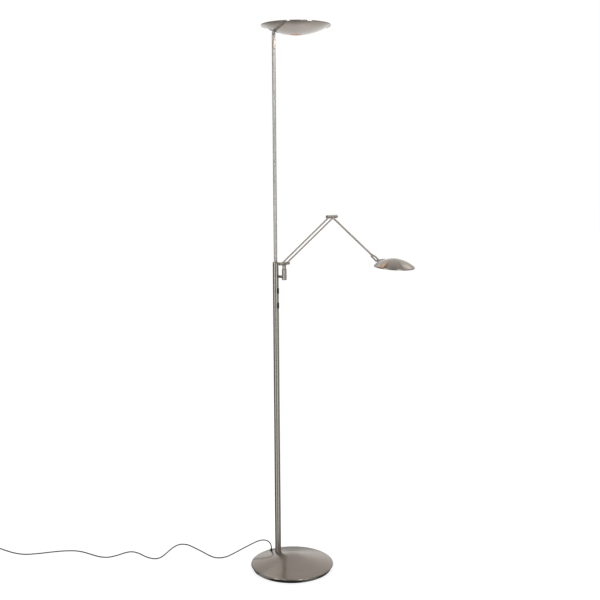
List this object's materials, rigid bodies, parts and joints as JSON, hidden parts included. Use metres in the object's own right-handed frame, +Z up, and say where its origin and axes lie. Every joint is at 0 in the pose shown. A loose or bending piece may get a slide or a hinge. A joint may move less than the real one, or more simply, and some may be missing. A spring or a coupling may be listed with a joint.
{
  "type": "torchiere floor lamp with reading light",
  "caption": "Slim brushed-nickel uplighter floor lamp: tilting bowl on a turning rod, jointed reading arm with a small domed head, tumbler dimmers and an offset round base.",
  "frame": {"origin": "centre of the round base's underside, on the floor", "axes": "+Z up along the stem; -Y is the lamp's front, where the arm and the switches point; the stem stands towards +Y"},
  "size_m": [0.8629, 1.4166, 1.808],
  "materials": {
    "brushed_nickel": "satin brushed nickel plate",
    "zinc_steel": "bright zinc",
    "cast_iron": "black painted casting",
    "black_plastic": "fine grained black moulding",
    "white_nylon": "natural nylon",
    "circuit_board": "green solder resist",
    "led_board": "white solder resist on aluminium",
    "bare_aluminium": "turned",
    "opal_diffuser": "opal acrylic, satin",
    "warm_window": "frosted, lit from behind with warm light",
    "lead_sheath": "black PVC sheath",
    "tie_strap": "woven hook and loop strap",
    "plug_brass": "nickel plated brass"
  },
  "bodies": {
    "stand": {"foot_tray": "black_plastic", "base_weight": "cast_iron", "base_cover": "brushed_nickel", "base_screws": "zinc_steel", "stem_stud": "zinc_steel", "stem_washer": "zinc_steel", "stem_nut": "zinc_steel", "stem_foot_plug": "zinc_steel", "stem_tube": "brushed_nickel", "top_bush": "brushed_nickel", "rod_guide_bush": "white_nylon", "dimmer_board": "circuit_board", "switch_housings": "black_plastic", "switch_pivot_pins": "zinc_steel", "bracket_arm": "brushed_nickel", "swivel_socket": "brushed_nickel", "swivel_bushes": "white_nylon", "swivel_socket_cap": "brushed_nickel", "lead_gland": "black_plastic", "power_lead": "lead_sheath", "lead_coil": "lead_sheath", "plug_tail": "lead_sheath", "coil_tie": "tie_strap", "mains_plug": "black_plastic", "plug_pins": "plug_brass"},
    "rod": {"upper_rod": "brushed_nickel", "rod_stop_collar": "zinc_steel", "rod_fork": "brushed_nickel", "bowl_hinge_screw": "zinc_steel"},
    "bowl": {"bowl_shell": "brushed_nickel", "bowl_hinge_tab": "brushed_nickel", "bowl_hinge_screws": "zinc_steel", "bowl_heat_sink": "bare_aluminium", "bowl_led_board": "led_board", "bowl_diffuser": "opal_diffuser", "bowl_bottom_window": "warm_window"},
    "arm_swivel": {"swivel_post": "brushed_nickel", "swivel_clip": "zinc_steel"},
    "lower_arm": {"lower_arm_rod_left": "brushed_nickel", "lower_arm_rod_right": "brushed_nickel", "knuckle_barrel_left": "brushed_nickel", "knuckle_barrel_right": "brushed_nickel", "elbow_barrel_left": "brushed_nickel", "elbow_barrel_right": "brushed_nickel", "arm_axles": "zinc_steel", "arm_caps": "brushed_nickel", "arm_washers": "black_plastic"},
    "upper_arm": {"elbow_centre_barrel": "brushed_nickel", "upper_arm_rod": "brushed_nickel", "neck_fork": "brushed_nickel", "head_hinge_pin": "zinc_steel"},
    "head": {"head_shade": "brushed_nickel", "head_hinge_lug": "brushed_nickel", "head_lug_screw": "zinc_steel", "head_heat_sink": "bare_aluminium", "head_led_board": "led_board", "head_diffuser": "opal_diffuser"},
    "rocker_upper_body": {"rocker_upper": "black_plastic"},
    "rocker_lower_body": {"rocker_lower": "black_plastic"}
  },
  "joints": [
    {"name": "rod_turn", "type": "hinge", "parent": "stand", "child": "rod", "pos_m": [0, 0.069, 1.03], "axis": [0, 0, 1], "range_deg": [-170, 170]},
    {"name": "bowl_tilt", "type": "hinge", "parent": "rod", "child": "bowl", "pos_m": [0, 0.069, 1.78009], "axis": [0.6997, 0.7145, 0], "range_deg": [-20, 45]},
    {"name": "arm_swing", "type": "hinge", "parent": "stand", "child": "arm_swivel", "pos_m": [0, 0.028, 1], "axis": [0, 0, 1], "range_deg": [-100, 100]},
    {"name": "arm_lift", "type": "hinge", "parent": "arm_swivel", "child": "lower_arm", "pos_m": [0, 0.028, 1.041], "axis": [-1, 0, 0], "range_deg": [-37, 38]},
    {"name": "elbow_bend", "type": "hinge", "parent": "lower_arm", "child": "upper_arm", "pos_m": [0, -0.187, 1.202], "axis": [-1, 0, 0], "range_deg": [-55, 50]},
    {"name": "head_tilt", "type": "hinge", "parent": "upper_arm", "child": "head", "pos_m": [0, -0.375, 1.077], "axis": [-1, 0, 0], "range_deg": [-50, 50]},
    {"name": "upper_dimmer", "type": "hinge", "parent": "stand", "child": "rocker_upper_body", "pos_m": [0, 0.0623, 0.947], "axis": [1, 0, 0], "range_deg": [-5, 5], "stiffness_Nm_per_rad": 0.05},
    {"name": "lower_dimmer", "type": "hinge", "parent": "stand", "child": "rocker_lower_body", "pos_m": [0, 0.0623, 0.898], "axis": [1, 0, 0], "range_deg": [-5, 5], "stiffness_Nm_per_rad": 0.05}
  ]
}
